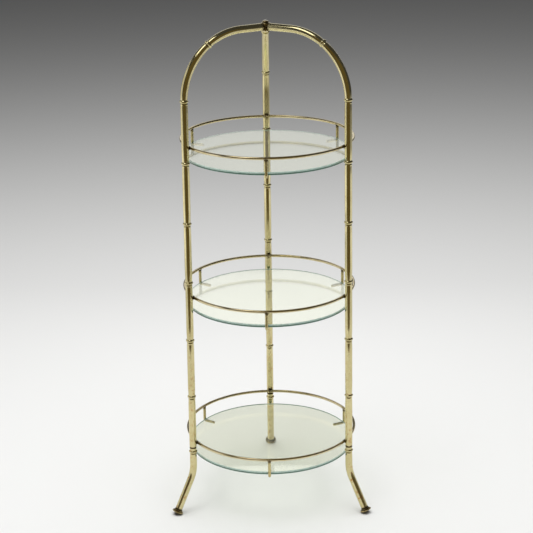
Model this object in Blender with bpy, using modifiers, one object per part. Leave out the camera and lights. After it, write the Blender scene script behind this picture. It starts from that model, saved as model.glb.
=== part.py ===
"""Tiered cake stand: a brass bamboo-pattern tripod that carries three round glass shelves in gallery rails.

Metres, +Z up. The floor is z = 0 and the front faces -Y. Blender 4.5.
"""
import math

import bmesh
import bpy

OBJECT_NAME = "tiered_cake_stand"

GAP = 0.0003            # between two pieces that touch
MERGE = 0.00001         # weld distance

# Legs: bamboo-pattern tube, standing on a circle around the stand's axis
LEG_AZIMUTHS = {"front_left": 210, "front_right": 330, "rear": 91}
LEG_CIRCLE = 0.1513     # at the foot of the upright run
LEG_LEAN = math.radians(0.29)
TUBE_RADIUS = 0.0060    # halfway between two nodes
NECK_DEPTH = 0.00065    # the tube narrows by this beside a node
BEAD_RISE = 0.0010      # a node's bead stands this far above the tube
BEAD_CROWN = 0.0008     # half the bead's flat top
BEAD_HALF = 0.0024      # half the bead's whole width
TAPER = 0.022           # from a node to the full tube
TUBE_WALL = 0.00095     # at a neck
NODE_PITCH = 0.100
FIRST_NODE = 0.109      # height of the lowest node
STRAIGHT_NODES = 7      # nodes up to the spring of the arch; one more sits on it
ARCH_BEND = 0.1035
REAR_ARCH_BEND = 0.135  # the rear leg comes over to the crown in an easier bend
SPLAY_HEIGHT = 0.085    # the foot curve starts here
SPLAY_BEND = 0.060
SPLAY_ANGLE = math.radians(25.8)
SPLAY_STEPS = 4
ARCH_STEPS = 9

# Feet: turned caps plugged into the tube ends
FLANGE_RADIUS = 0.0095
FLANGE_THICK = 0.0025
COLLAR_RISE = 0.0006    # the collar stands this far above the tube
COLLAR_LENGTH = 0.0025
SPIGOT_LENGTH = 0.012

# Crown: a turned hub that the three tubes meet, and a domed screw on top
HUB_RISE = 0.0020       # the hub's radius over the tube's
HUB_OVER = 0.0007       # the hub stands this far above and below the tubes
HUB_ROUND = 0.0016
FINIAL_RADIUS = 0.0052
FINIAL_HEIGHT = 0.0030
FINIAL_RIM = 0.0008
STUD_RADIUS = 0.0020
STUD_LENGTH = 0.0070

# Gallery rails and the rods under them that hold the glass
RAIL_ROD = 0.0024
TIERS = {               # the node that a rail is placed from, and its height over that node
    "top": (5, 0.0241),
    "middle": (3, -0.0271),
    "bottom": (0, 0.0143),
}
BRACKET_AZIMUTHS = {    # set by hand on each tier, so they stray a little from thirds of a circle
    "top": {"front": 269.7, "right": 33.7, "left": 153.7},
    "middle": {"front": 268.7, "right": 27.8, "left": 147.8},
    "bottom": {"front": 269.2, "right": 26.3, "left": 146.3},
}
BRACKET_ROD = 0.0024
BRACKET_BEND = 0.0045
BRACKET_REACH = 0.022   # from the rail's circle to the prong's tip
RAIL_TO_GLASS = 0.0253  # rail centre down to the middle of the glass

# Shelves
GLASS_PLAY = 0.0012     # between the glass and the inside of its rail
GLASS_THICK = 0.0050
GLASS_ARRIS = 0.0005

TUBE_RESOLUTION = 3
ROD_RESOLUTION = 2
TURNED_STEPS = 20
RING_STEPS = 60
RING_SIDES = 8

# Worked out from the sizes above
NECK_RADIUS = TUBE_RADIUS - NECK_DEPTH
BEAD_RADIUS = TUBE_RADIUS + BEAD_RISE
BORE_RADIUS = NECK_RADIUS - TUBE_WALL
FLANGE_ROUND = FLANGE_THICK / 2
COLLAR_RADIUS = TUBE_RADIUS + COLLAR_RISE
HUB_RADIUS = TUBE_RADIUS + HUB_RISE
HUB_HALF = TUBE_RADIUS + HUB_OVER
PRONG_DEPTH = RAIL_TO_GLASS + GLASS_THICK / 2 + BRACKET_ROD + GAP

LEAN_SIN = math.sin(LEG_LEAN)
LEAN_COS = math.cos(LEG_LEAN)
SPLAY_SIN = math.sin(SPLAY_ANGLE)
SPLAY_COS = math.cos(SPLAY_ANGLE)
FOOT_LIFT = (FLANGE_RADIUS - FLANGE_ROUND) * SPLAY_SIN + FLANGE_ROUND * (1 - SPLAY_COS)
SPLAY_DROP = SPLAY_BEND * (SPLAY_SIN - LEAN_SIN)
SPLAY_RUN = (SPLAY_HEIGHT - SPLAY_DROP - FOOT_LIFT) / SPLAY_COS
SPLAY_ARC = SPLAY_BEND * (SPLAY_ANGLE - LEG_LEAN)
FOOT_CIRCLE = LEG_CIRCLE + SPLAY_BEND * (LEAN_COS - SPLAY_COS) + SPLAY_RUN * SPLAY_SIN

FIRST_NODE_AT = SPLAY_RUN + SPLAY_ARC + (FIRST_NODE - SPLAY_HEIGHT) / LEAN_COS
NODES_AT = [FIRST_NODE_AT + i * NODE_PITCH for i in range(STRAIGHT_NODES + 1)]
ARCH_START = SPLAY_HEIGHT + (NODES_AT[STRAIGHT_NODES - 1] - SPLAY_RUN - SPLAY_ARC) * LEAN_COS
CROWN_HEIGHT = ARCH_START + ARCH_BEND * (1 - LEAN_SIN)
LEG_START = FLANGE_THICK + COLLAR_LENGTH + GAP
NODE_SHAPE = (          # distance from a node's middle, tube radius there
    (BEAD_CROWN, BEAD_RADIUS),
    ((BEAD_CROWN + BEAD_HALF) / 2, (BEAD_RADIUS + TUBE_RADIUS) / 2),
    (BEAD_HALF, NECK_RADIUS),
    (TAPER, TUBE_RADIUS),
)


def arch_bend(side):
    return REAR_ARCH_BEND if side == "rear" else ARCH_BEND


def upright_run(side):
    """Length of a leg's straight upright, from the foot curve to the spring of its arch."""
    return (CROWN_HEIGHT - arch_bend(side) * (1 - LEAN_SIN) - SPLAY_HEIGHT) / LEAN_COS


def arch_at(side):
    """Distances along a leg at which its arch starts and ends."""
    start = SPLAY_RUN + SPLAY_ARC + upright_run(side)
    return start, start + arch_bend(side) * (math.pi / 2 - LEG_LEAN)


def crown_run(side):
    """Level run of a leg, from the end of its arch to the stand's axis."""
    return LEG_CIRCLE - upright_run(side) * LEAN_SIN - arch_bend(side) * LEAN_COS


def leg_end(side):
    return arch_at(side)[1] + crown_run(side) - HUB_RADIUS / 2


def leg_point(at, side):
    """Distance from the stand's axis and height of a leg's centre line, measured along it from its foot."""
    if at < SPLAY_RUN:
        return FOOT_CIRCLE - at * SPLAY_SIN, FOOT_LIFT + at * SPLAY_COS
    at -= SPLAY_RUN
    if at < SPLAY_ARC:
        slope = SPLAY_ANGLE - at / SPLAY_BEND
        return (LEG_CIRCLE + SPLAY_BEND * (LEAN_COS - math.cos(slope)),
                SPLAY_HEIGHT - SPLAY_BEND * (math.sin(slope) - LEAN_SIN))
    at -= SPLAY_ARC
    upright = upright_run(side)
    if at < upright:
        return LEG_CIRCLE - at * LEAN_SIN, SPLAY_HEIGHT + at * LEAN_COS
    at -= upright
    bend = arch_bend(side)
    arch = bend * (math.pi / 2 - LEG_LEAN)
    if at < arch:
        slope = LEG_LEAN + at / bend
        return crown_run(side) + bend * math.cos(slope), CROWN_HEIGHT - bend * (1 - math.sin(slope))
    return crown_run(side) - (at - arch), CROWN_HEIGHT


def tube_radius(at):
    """The bamboo outline: a bead at each node, a neck beside it, and a full tube between."""
    distance = min(abs(at - node) for node in NODES_AT)
    for (near, near_radius), (far, far_radius) in zip(NODE_SHAPE, NODE_SHAPE[1:]):
        if distance <= far:
            share = max(distance - near, 0) / (far - near)
            return near_radius + (far_radius - near_radius) * share
    return TUBE_RADIUS


def rail_height(tier):
    node, offset = TIERS[tier]
    return FIRST_NODE + node * NODE_PITCH + offset


def rail_radius(tier):
    """A rail's circle: it runs inside the legs and touches each at its own height."""
    node, offset = TIERS[tier]
    at = NODES_AT[node] + offset
    return leg_point(at, "rear")[0] - tube_radius(at) - RAIL_ROD - GAP


def axis_y():
    """The stand's upright axis, placed so that its box is centred on the origin."""
    front = rail_radius("bottom") + RAIL_ROD
    rear = (FOOT_CIRCLE + (FLANGE_RADIUS - FLANGE_ROUND) * SPLAY_COS
            + FLANGE_ROUND * (1 - SPLAY_SIN))
    return (front - rear) / 2


def clear_scene():
    """Remove the objects that the file starts with."""
    for obj in list(bpy.data.objects):
        bpy.data.objects.remove(obj, do_unlink=True)


def new_collection(name):
    collection = bpy.data.collections.new(name)
    bpy.context.scene.collection.children.link(collection)
    return collection


def new_material(name, color, roughness, metallic, transmission=0.0):
    material = bpy.data.materials.new(name)
    material.use_nodes = True
    shader = material.node_tree.nodes["Principled BSDF"]
    shader.inputs["Base Color"].default_value = (*color, 1.0)
    shader.inputs["Roughness"].default_value = roughness
    shader.inputs["Metallic"].default_value = metallic
    shader.inputs["Transmission Weight"].default_value = transmission
    return material


def tube_material():
    return new_material("tube_brass", (0.62, 0.50, 0.24), 0.22, 1.0)


def rod_material():
    return new_material("rod_brass", (0.66, 0.51, 0.25), 0.20, 1.0)


def fitting_material():
    return new_material("fitting_brass", (0.42, 0.32, 0.18), 0.32, 1.0)


def glass_material():
    return new_material("clear_glass", (0.80, 0.93, 0.88), 0.03, 0.0, 1.0)


def add_object(name, data, parent, material, collection):
    """Link an object under a parent empty."""
    obj = bpy.data.objects.new(name, data)
    obj.parent = parent
    if material:
        data.materials.append(material)
    collection.objects.link(obj)
    return obj


def pivot(name, azimuth, height, collection):
    """An empty on the stand's axis, its X towards the azimuth in degrees."""
    empty = bpy.data.objects.new(name, None)
    empty.location = (0, axis_y(), height)
    empty.rotation_euler = (0, 0, math.radians(azimuth))
    empty.empty_display_size = 0.02
    collection.objects.link(empty)
    return empty


def path_curve(name, points, rod_radius, resolution, parent, material, collection):
    """A round bar through (radius, height, bar radius) points in its parent's XZ plane."""
    curve = bpy.data.curves.new(name, "CURVE")
    curve.dimensions = "3D"
    curve.bevel_depth = rod_radius
    curve.bevel_resolution = resolution
    curve.use_fill_caps = True
    spline = curve.splines.new("POLY")
    spline.points.add(len(points) - 1)
    for point, (out, height, bar_radius) in zip(spline.points, points):
        point.co = (out, 0, height, 1)
        point.radius = bar_radius / rod_radius
    return add_object(name, curve, parent, material, collection)


def curve_to_mesh(curve_object, collection):
    """Replace a curve object with the closed mesh that it shows."""
    bpy.context.view_layer.update()
    evaluated = curve_object.evaluated_get(bpy.context.evaluated_depsgraph_get())
    mesh = bpy.data.meshes.new_from_object(evaluated)
    bm = bmesh.new()
    bm.from_mesh(mesh)
    bmesh.ops.remove_doubles(bm, verts=bm.verts, dist=MERGE)
    bmesh.ops.recalc_face_normals(bm, faces=bm.faces)
    bm.to_mesh(mesh)
    bm.free()
    name = curve_object.name
    place = curve_object.matrix_world.copy()
    curve_object.name = name + "_curve"
    obj = bpy.data.objects.new(name, mesh)
    obj.matrix_world = place
    collection.objects.link(obj)
    bpy.data.objects.remove(curve_object, do_unlink=True)
    return obj


def turned(name, profile, parent, material, collection):
    """A solid turned about its own Z from (radius, height) points, listed from the top down."""
    mesh = bpy.data.meshes.new(name)
    edges = [(i, i + 1) for i in range(len(profile) - 1)]
    mesh.from_pydata([(radius, 0, height) for radius, height in profile], edges, [])
    obj = add_object(name, mesh, parent, material, collection)
    screw = obj.modifiers.new("Turn", "SCREW")
    screw.axis = "Z"
    screw.angle = math.tau
    screw.steps = TURNED_STEPS
    screw.render_steps = TURNED_STEPS
    screw.use_merge_vertices = True
    screw.merge_threshold = MERGE
    screw.use_smooth_shade = True
    return obj


def arc(center, radius, start, end, steps):
    """Points on an arc in a profile's plane, angles in degrees."""
    angles = [math.radians(start + (end - start) * i / steps) for i in range(steps + 1)]
    return [(center[0] + radius * math.cos(a), center[1] + radius * math.sin(a)) for a in angles]


def cut(obj, cutter):
    """Subtract a cutter from a part."""
    cutter.hide_render = True
    cutter.display_type = "WIRE"
    boolean = obj.modifiers.new("Cut " + cutter.name, "BOOLEAN")
    boolean.operation = "DIFFERENCE"
    boolean.solver = "EXACT"
    boolean.object = cutter


def bend_stations(side):
    """Distances along a leg at which its two bends are cut into short chords."""
    splay = [SPLAY_RUN + SPLAY_ARC * i / SPLAY_STEPS for i in range(SPLAY_STEPS + 1)]
    start, end = arch_at(side)
    return splay + [start + (end - start) * i / ARCH_STEPS for i in range(ARCH_STEPS + 1)]


def tube_stations(side):
    """Distances along a leg at which its outside is drawn."""
    at_nodes = [node + side * distance for node in NODES_AT
                for distance, _ in NODE_SHAPE for side in (-1, 1)]
    bends = [at for at in bend_stations(side)
             if min(abs(at - station) for station in at_nodes) > BEAD_CROWN]
    return [LEG_START] + sorted(at_nodes + bends) + [leg_end(side)]


def make_leg(side, material, parts, cutters):
    """A leg: bamboo-pattern tube from foot to crown, hollow and coped around the hub."""
    axis = pivot("leg_axis_" + side, LEG_AZIMUTHS[side], 0, parts)
    outline = [(*leg_point(at, side), tube_radius(at)) for at in tube_stations(side)]
    leg = path_curve("leg_" + side, outline, TUBE_RADIUS, TUBE_RESOLUTION, axis, material, parts)
    leg = curve_to_mesh(leg, parts)
    leg.data.shade_smooth()

    past_end = 2 * TUBE_RADIUS
    bore_stations = [LEG_START - past_end] + bend_stations(side) + [leg_end(side) + past_end]
    bore = [(*leg_point(at, side), BORE_RADIUS) for at in bore_stations]
    bore = path_curve("bore_" + side, bore, BORE_RADIUS, ROD_RESOLUTION, axis, None, cutters)
    cut(leg, curve_to_mesh(bore, cutters))

    cope = bpy.data.meshes.new("cope_" + side)
    bm = bmesh.new()
    bmesh.ops.create_cone(bm, cap_ends=True, segments=2 * TURNED_STEPS, radius1=HUB_RADIUS + GAP,
                          radius2=HUB_RADIUS + GAP, depth=2 * BEAD_RADIUS + past_end)
    bm.to_mesh(cope)
    bm.free()
    cope = add_object(cope.name, cope, axis, None, cutters)
    cope.location.z = CROWN_HEIGHT
    cut(leg, cope)
    return axis


def make_foot(side, axis, material, parts):
    """A foot: turned flange and collar square to the leg, with a spigot inside the tube."""
    top = FLANGE_THICK + COLLAR_LENGTH
    spigot = BORE_RADIUS * math.cos(math.pi / (4 + 2 * ROD_RESOLUTION)) - GAP
    rim = arc((FLANGE_RADIUS - FLANGE_ROUND, FLANGE_ROUND), FLANGE_ROUND, 90, -90, 6)
    profile = [
        (0, top + SPIGOT_LENGTH),
        (spigot - COLLAR_RISE, top + SPIGOT_LENGTH),
        (spigot, top + SPIGOT_LENGTH - COLLAR_RISE),
        (spigot, top),
        (COLLAR_RADIUS - COLLAR_RISE, top),
        (COLLAR_RADIUS, top - COLLAR_RISE),
        (COLLAR_RADIUS, FLANGE_THICK + COLLAR_RISE),
        (COLLAR_RADIUS + COLLAR_RISE, FLANGE_THICK),
        *rim,
        (0, 0),
    ]
    foot = turned("foot_" + side, profile, axis, material, parts)
    foot.location = (FOOT_CIRCLE, 0, FOOT_LIFT)
    foot.rotation_euler = (0, -SPLAY_ANGLE, 0)


def make_crown(hub_material, finial_material, parts):
    """The hub between the three tube ends, and the domed screw in its top."""
    hole = STUD_RADIUS + GAP
    hole_end = HUB_HALF - STUD_LENGTH - GAP
    corner = HUB_RADIUS - HUB_ROUND
    hub_profile = [
        (0, hole_end),
        (hole, hole_end),
        (hole, HUB_HALF),
        *arc((corner, HUB_HALF - HUB_ROUND), HUB_ROUND, 90, 0, 4),
        *arc((corner, HUB_ROUND - HUB_HALF), HUB_ROUND, 0, -90, 4),
        (0, -HUB_HALF),
    ]
    axis = pivot("crown_axis", 0, CROWN_HEIGHT, parts)
    turned("crown_hub", hub_profile, axis, hub_material, parts)

    steps = 6
    dome_height = FINIAL_HEIGHT - FINIAL_RIM
    dome = [(FINIAL_RADIUS * math.sin(math.pi / 2 * i / steps),
             FINIAL_RIM + dome_height * math.cos(math.pi / 2 * i / steps)) for i in range(steps + 1)]
    finial_profile = [
        *dome,
        (FINIAL_RADIUS, 0),
        (STUD_RADIUS, 0),
        (STUD_RADIUS, -STUD_LENGTH),
        (0, -STUD_LENGTH),
    ]
    finial = turned("crown_finial", finial_profile, axis, finial_material, parts)
    finial.location.z = HUB_HALF + GAP


def make_rail(tier, material, parts):
    """A gallery rail: one round rod bent into a ring inside the legs."""
    bpy.ops.mesh.primitive_torus_add(
        major_radius=rail_radius(tier), minor_radius=RAIL_ROD, major_segments=RING_STEPS,
        minor_segments=RING_SIDES, location=(0, axis_y(), rail_height(tier)))
    rail = bpy.context.object
    rail.name = "rail_" + tier
    rail.data.name = rail.name
    rail.data.materials.append(material)
    rail.data.shade_smooth()
    for collection in list(rail.users_collection):
        collection.objects.unlink(rail)
    parts.objects.link(rail)


def make_bracket(tier, side, material, parts):
    """A bent rod: a post under the rail and a prong under the glass, with a rounded tip."""
    name = "bracket_" + tier + "_" + side
    axis = pivot(name + "_axis", BRACKET_AZIMUTHS[tier][side], rail_height(tier), parts)
    out = rail_radius(tier)
    tip = out - BRACKET_REACH
    corner = (out - BRACKET_BEND, BRACKET_BEND - PRONG_DEPTH)
    line = [(out, -RAIL_ROD - GAP)] + arc(corner, BRACKET_BEND, 0, -90, 4)
    line += [(tip + BRACKET_ROD * (1 - math.sin(a)), -PRONG_DEPTH)
             for a in (0, math.pi / 5, math.pi * 0.38)]
    full = len(line) - 2
    sizes = [BRACKET_ROD] * full + [BRACKET_ROD * math.cos(a) for a in (math.pi / 5, math.pi * 0.38)]
    points = [(*point, size) for point, size in zip(line, sizes)]
    path_curve(name, points, BRACKET_ROD, ROD_RESOLUTION, axis, material, parts)


def make_shelf(tier, material, parts):
    """A round glass shelf with an arrised edge, resting on its three prongs."""
    radius = rail_radius(tier) - RAIL_ROD - GLASS_PLAY
    mesh = bpy.data.meshes.new("shelf_" + tier)
    bm = bmesh.new()
    bmesh.ops.create_cone(bm, cap_ends=True, segments=RING_STEPS, radius1=radius,
                          radius2=radius, depth=GLASS_THICK)
    bm.to_mesh(mesh)
    bm.free()
    mesh.shade_smooth()
    shelf = add_object(mesh.name, mesh, None, material, parts)
    shelf.location = (0, axis_y(), rail_height(tier) - RAIL_TO_GLASS)
    arris = shelf.modifiers.new("Arris", "BEVEL")
    arris.width = GLASS_ARRIS
    arris.segments = 1
    arris.limit_method = "ANGLE"
    arris.angle_limit = math.radians(45)


def main():
    clear_scene()
    parts = new_collection(OBJECT_NAME)
    cutters = new_collection("cutters")
    tube = tube_material()
    rod = rod_material()
    fitting = fitting_material()
    glass = glass_material()
    for side in LEG_AZIMUTHS:
        axis = make_leg(side, tube, parts, cutters)
        make_foot(side, axis, fitting, parts)
    make_crown(fitting, fitting, parts)
    for tier in TIERS:
        make_rail(tier, rod, parts)
        make_shelf(tier, glass, parts)
        for side in BRACKET_AZIMUTHS[tier]:
            make_bracket(tier, side, rod, parts)


main()
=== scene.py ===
"""Looks of the tiered cake stand: bamboo-pattern legs, gallery rails, bent brackets and glass shelves.

Metres, +Z up. The floor is z = 0 and the front faces -Y.
"""

import math

import bmesh
import bpy
from bpy.props import FloatProperty, FloatVectorProperty, IntProperty, PointerProperty
from mathutils import Matrix, Vector


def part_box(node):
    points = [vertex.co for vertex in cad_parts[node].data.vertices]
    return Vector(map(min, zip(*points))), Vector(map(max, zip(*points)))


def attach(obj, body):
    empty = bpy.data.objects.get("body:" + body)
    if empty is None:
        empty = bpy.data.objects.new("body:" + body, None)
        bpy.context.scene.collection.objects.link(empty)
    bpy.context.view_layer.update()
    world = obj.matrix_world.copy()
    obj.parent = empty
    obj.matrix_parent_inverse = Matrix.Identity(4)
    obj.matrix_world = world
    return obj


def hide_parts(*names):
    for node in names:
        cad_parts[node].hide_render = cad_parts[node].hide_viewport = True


bl_info = {
    "name": "Tiered Cake Stand",
    "version": (1, 0, 0),
    "blender": (4, 5, 0),
    "location": "View3D > Sidebar > Cake Stand",
    "description": "Models and finishes a brass stand with three glass shelves, and lights it",
    "category": "Add Mesh",
}

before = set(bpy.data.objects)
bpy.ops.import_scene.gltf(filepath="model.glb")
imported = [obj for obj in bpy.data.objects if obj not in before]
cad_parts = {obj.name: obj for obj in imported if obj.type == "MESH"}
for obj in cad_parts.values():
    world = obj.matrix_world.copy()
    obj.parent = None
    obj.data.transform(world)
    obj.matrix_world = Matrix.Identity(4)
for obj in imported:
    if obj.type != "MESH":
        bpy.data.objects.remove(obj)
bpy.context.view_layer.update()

BODY = "stand_frame"
SIDES = ("front_left", "front_right", "rear")
TIERS = ("top", "middle", "bottom")
BRACKET_SIDES = ("front", "right", "left")

GAP = 0.0003            # between a rod and the piece it is brazed to
MERGE = 0.00001         # weld distance

# The line and outline of a leg, as the frame has them
LEG_AZIMUTHS = {"front_left": 210, "front_right": 330, "rear": 91}
LEG_CIRCLE = 0.1513
LEG_LEAN = math.radians(0.29)
TUBE_RADIUS = 0.0060
NECK_RADIUS = 0.00535
BEAD_RADIUS = 0.0070
TAPER = 0.022
NODE_PITCH = 0.100
FIRST_NODE = 0.109
STRAIGHT_NODES = 7
ARCH_BEND = 0.1035
REAR_ARCH_BEND = 0.135
SPLAY_HEIGHT = 0.085
SPLAY_BEND = 0.060
SPLAY_ANGLE = math.radians(25.8)
FLANGE_RADIUS = 0.0095
FLANGE_THICK = 0.0025
COLLAR_RADIUS = 0.0066
COLLAR_TOP = 0.0050
HUB_RADIUS = 0.0080
BRACKET_AZIMUTHS = {
    "top": {"front": 269.7, "right": 33.7, "left": 153.7},
    "middle": {"front": 268.7, "right": 27.8, "left": 147.8},
    "bottom": {"front": 269.2, "right": 26.3, "left": 146.3},
}
BRACKET_BEND = 0.0045
BRACKET_REACH = 0.022

FLANGE_ROUND = FLANGE_THICK / 2
FOOT_LIFT = ((FLANGE_RADIUS - FLANGE_ROUND) * math.sin(SPLAY_ANGLE)
             + FLANGE_ROUND * (1 - math.cos(SPLAY_ANGLE)))
SPLAY_DROP = SPLAY_BEND * (math.sin(SPLAY_ANGLE) - math.sin(LEG_LEAN))
SPLAY_RUN = (SPLAY_HEIGHT - SPLAY_DROP - FOOT_LIFT) / math.cos(SPLAY_ANGLE)
SPLAY_ARC = SPLAY_BEND * (SPLAY_ANGLE - LEG_LEAN)
FOOT_CIRCLE = (LEG_CIRCLE + SPLAY_BEND * (math.cos(LEG_LEAN) - math.cos(SPLAY_ANGLE))
               + SPLAY_RUN * math.sin(SPLAY_ANGLE))
FIRST_NODE_AT = SPLAY_RUN + SPLAY_ARC + (FIRST_NODE - SPLAY_HEIGHT) / math.cos(LEG_LEAN)
NODES_AT = [FIRST_NODE_AT + i * NODE_PITCH for i in range(STRAIGHT_NODES + 1)]
ARCH_START = SPLAY_HEIGHT + (NODES_AT[STRAIGHT_NODES - 1] - SPLAY_RUN - SPLAY_ARC) * math.cos(LEG_LEAN)
CROWN_HEIGHT = ARCH_START + ARCH_BEND * (1 - math.sin(LEG_LEAN))
LEG_START = COLLAR_TOP + GAP


def box_size(node):
    low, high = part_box(node)
    return high - low


def box_middle(node):
    low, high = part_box(node)
    return (low + high) / 2


AXIS_Y = box_middle("shelf_top").y
ROD = box_size("rail_top").z / 2
RAIL_RADIUS = {tier: box_size("rail_" + tier).x / 2 - ROD for tier in TIERS}
RAIL_HEIGHT = {tier: box_middle("rail_" + tier).z for tier in TIERS}


# ---------------------------------------------------------------- sizes and finishes to change

class CakeStandMetal(bpy.types.PropertyGroup):
    """Shape of the brass and its braze."""
    leg_sides: IntProperty(
        name="Leg Sides", description="Faces around a leg", default=40, min=12, max=96)
    rod_sides: IntProperty(
        name="Rod Sides", description="Faces around a rail or a bracket", default=20, min=8, max=64)
    ring_steps: IntProperty(
        name="Ring Steps", description="Faces along a rail and around a shelf",
        default=240, min=60, max=480)
    bead_half: FloatProperty(
        name="Bead Half Width", description="From a node's crown to the foot of its bead",
        default=0.0022, unit="LENGTH")
    crease_depth: FloatProperty(
        name="Crease Depth", description="Depth of the crease below a bead",
        default=0.00014, unit="LENGTH")
    crease_drop: FloatProperty(
        name="Crease Drop", description="From a bead's crown down to its crease",
        default=0.0028, unit="LENGTH")
    ridge_rise: FloatProperty(
        name="Ridge Rise", description="Height of the small ridge below a bead",
        default=0.00018, unit="LENGTH")
    ridge_drop: FloatProperty(
        name="Ridge Drop", description="From a bead's crown down to the small ridge",
        default=0.0046, unit="LENGTH")
    braze_size: FloatProperty(
        name="Braze Size", description="Reach of the braze around a joint",
        default=0.0034, unit="LENGTH")


class CakeStandFinish(bpy.types.PropertyGroup):
    """Colours and wear of the brass and the glass."""
    brass: FloatVectorProperty(
        name="Brass", description="Clean brass", subtype="COLOR",
        default=(0.71, 0.635, 0.36), min=0, max=1)
    rail: FloatVectorProperty(
        name="Rail", description="Paler brass of the rails", subtype="COLOR",
        default=(0.78, 0.68, 0.46), min=0, max=1)
    tarnish: FloatVectorProperty(
        name="Tarnish", description="Brass under its brown bloom", subtype="COLOR",
        default=(0.46, 0.37, 0.15), min=0, max=1)
    stain: FloatVectorProperty(
        name="Stain", description="Orange-brown spots low on the legs", subtype="COLOR",
        default=(0.46, 0.22, 0.06), min=0, max=1)
    # Near-black colour of the soiling and the painted shade in creases and joints
    grime: FloatVectorProperty(
        name="Grime", description="Black-brown dirt in creases and joints", subtype="COLOR",
        default=(0.045, 0.030, 0.010), min=0, max=1)
    fitting: FloatVectorProperty(
        name="Fitting", description="Darkened brass of the feet and the crown", subtype="COLOR",
        default=(0.42, 0.33, 0.17), min=0, max=1)
    bracket: FloatVectorProperty(
        name="Bracket", description="Dull brass of the brackets", subtype="COLOR",
        default=(0.62, 0.55, 0.30), min=0, max=1)
    glass: FloatVectorProperty(
        name="Glass", description="Tint of the glass through its faces", subtype="COLOR",
        default=(0.965, 0.985, 0.87), min=0, max=1)
    glass_arris: FloatVectorProperty(
        name="Glass Arris", description="Pale ground corner of the glass", subtype="COLOR",
        default=(0.62, 0.80, 0.70), min=0, max=1)
    glass_rim: FloatVectorProperty(
        name="Glass Rim", description="Green of the glass seen edge on", subtype="COLOR",
        default=(0.085, 0.20, 0.145), min=0, max=1)


class CakeStandStage(bpy.types.PropertyGroup):
    """Camera, floor and lights."""
    left_light: FloatProperty(
        name="Left Light", description="Brightness of the large light on the left", default=0.70)
    right_light: FloatProperty(
        name="Right Light", description="Brightness of the light on the right", default=0.40)
    back_light: FloatProperty(
        name="Back Light", description="Brightness of the light high behind", default=0.72)
    over_light: FloatProperty(
        name="Overhead Light", description="Brightness of the large soft light overhead", default=3.4)
    high_light: FloatProperty(
        name="High Light", description="Brightness of the small light high on the left", default=2.2)
    back_light_low: FloatProperty(
        name="Low Back Light", description="Brightness of the strip under the back light", default=0.95)
    surround: FloatProperty(
        name="Surround", description="Brightness of the dark room around", default=0.06)
    floor: FloatVectorProperty(
        name="Floor", description="Colour of the plain floor", subtype="COLOR",
        default=(0.80, 0.80, 0.79), min=0, max=1)
    # The card glows in this colour and only the brass's reflections see it: a painted dark reflection
    card: FloatVectorProperty(
        name="Card", description="Colour of the dark card that the brass mirrors", subtype="COLOR",
        default=(0.13, 0.10, 0.04), min=0, max=1)
    lens: FloatProperty(
        name="Lens", description="Focal length on a 36 mm wide film", default=107.34, unit="CAMERA")


# ---------------------------------------------------------------- shapes

def bump(offset, middle, width):
    """A round bump of height 1 at middle, fading out over width."""
    return math.exp(-((offset - middle) / width) ** 2)


def arch_bend(side):
    return REAR_ARCH_BEND if side == "rear" else ARCH_BEND


def upright_run(side):
    """Length of a leg's straight upright."""
    return ((CROWN_HEIGHT - arch_bend(side) * (1 - math.sin(LEG_LEAN)) - SPLAY_HEIGHT)
            / math.cos(LEG_LEAN))


def crown_run(side):
    """Level run of a leg, from the end of its arch to the stand's axis."""
    return (LEG_CIRCLE - upright_run(side) * math.sin(LEG_LEAN)
            - arch_bend(side) * math.cos(LEG_LEAN))


def leg_end(side):
    return (SPLAY_RUN + SPLAY_ARC + upright_run(side) + arch_bend(side) * (math.pi / 2 - LEG_LEAN)
            + crown_run(side) - HUB_RADIUS / 2)


def leg_point(at, side):
    """Distance from the stand's axis, height and slope of a leg's centre line, from its foot up."""
    if at < SPLAY_RUN:
        return (FOOT_CIRCLE - at * math.sin(SPLAY_ANGLE), FOOT_LIFT + at * math.cos(SPLAY_ANGLE),
                SPLAY_ANGLE)
    at -= SPLAY_RUN
    if at < SPLAY_ARC:
        slope = SPLAY_ANGLE - at / SPLAY_BEND
        return (LEG_CIRCLE + SPLAY_BEND * (math.cos(LEG_LEAN) - math.cos(slope)),
                SPLAY_HEIGHT - SPLAY_BEND * (math.sin(slope) - math.sin(LEG_LEAN)), slope)
    at -= SPLAY_ARC
    upright = upright_run(side)
    if at < upright:
        return (LEG_CIRCLE - at * math.sin(LEG_LEAN), SPLAY_HEIGHT + at * math.cos(LEG_LEAN), LEG_LEAN)
    at -= upright
    bend = arch_bend(side)
    arch = bend * (math.pi / 2 - LEG_LEAN)
    if at < arch:
        slope = LEG_LEAN + at / bend
        return (crown_run(side) + bend * math.cos(slope), CROWN_HEIGHT - bend * (1 - math.sin(slope)),
                slope)
    return crown_run(side) - (at - arch), CROWN_HEIGHT, math.pi / 2


def node_offset(at):
    """Signed distance from the nearest node, positive above it."""
    return min((at - node for node in NODES_AT), key=abs)


def leg_radius(at, metal):
    """The bamboo outline: a bead, a crease and a small ridge at each node, and a full tube between."""
    offset = node_offset(at)
    ease = min(abs(offset) / TAPER, 1)
    radius = NECK_RADIUS + (TUBE_RADIUS - NECK_RADIUS) * ease * (2 - ease)
    reach = abs(offset) / metal.bead_half
    if reach < 1:
        radius += (BEAD_RADIUS - NECK_RADIUS) * (1 - reach ** 2.4)
    radius -= metal.crease_depth * bump(offset, -metal.crease_drop, metal.bead_half / 3)
    radius += metal.ridge_rise * bump(offset, -metal.ridge_drop, metal.bead_half / 2.6)
    return radius


def leg_grime_and_shade(at, end, metal):
    """Painted shade and soiling along a leg: under each bead, a little over it, at the foot and at the
    crown.
    """
    offset = node_offset(at)
    width = metal.bead_half / 2
    dirt_and_shade = 0.40 * bump(offset, -metal.crease_drop, 0.8 * width)
    dirt_and_shade += 0.08 * bump(offset, metal.crease_drop, width)
    dirt_and_shade += bump(at, LEG_START, 0.0025) + bump(at, end, 0.0050)
    return min(dirt_and_shade, 1)


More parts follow.
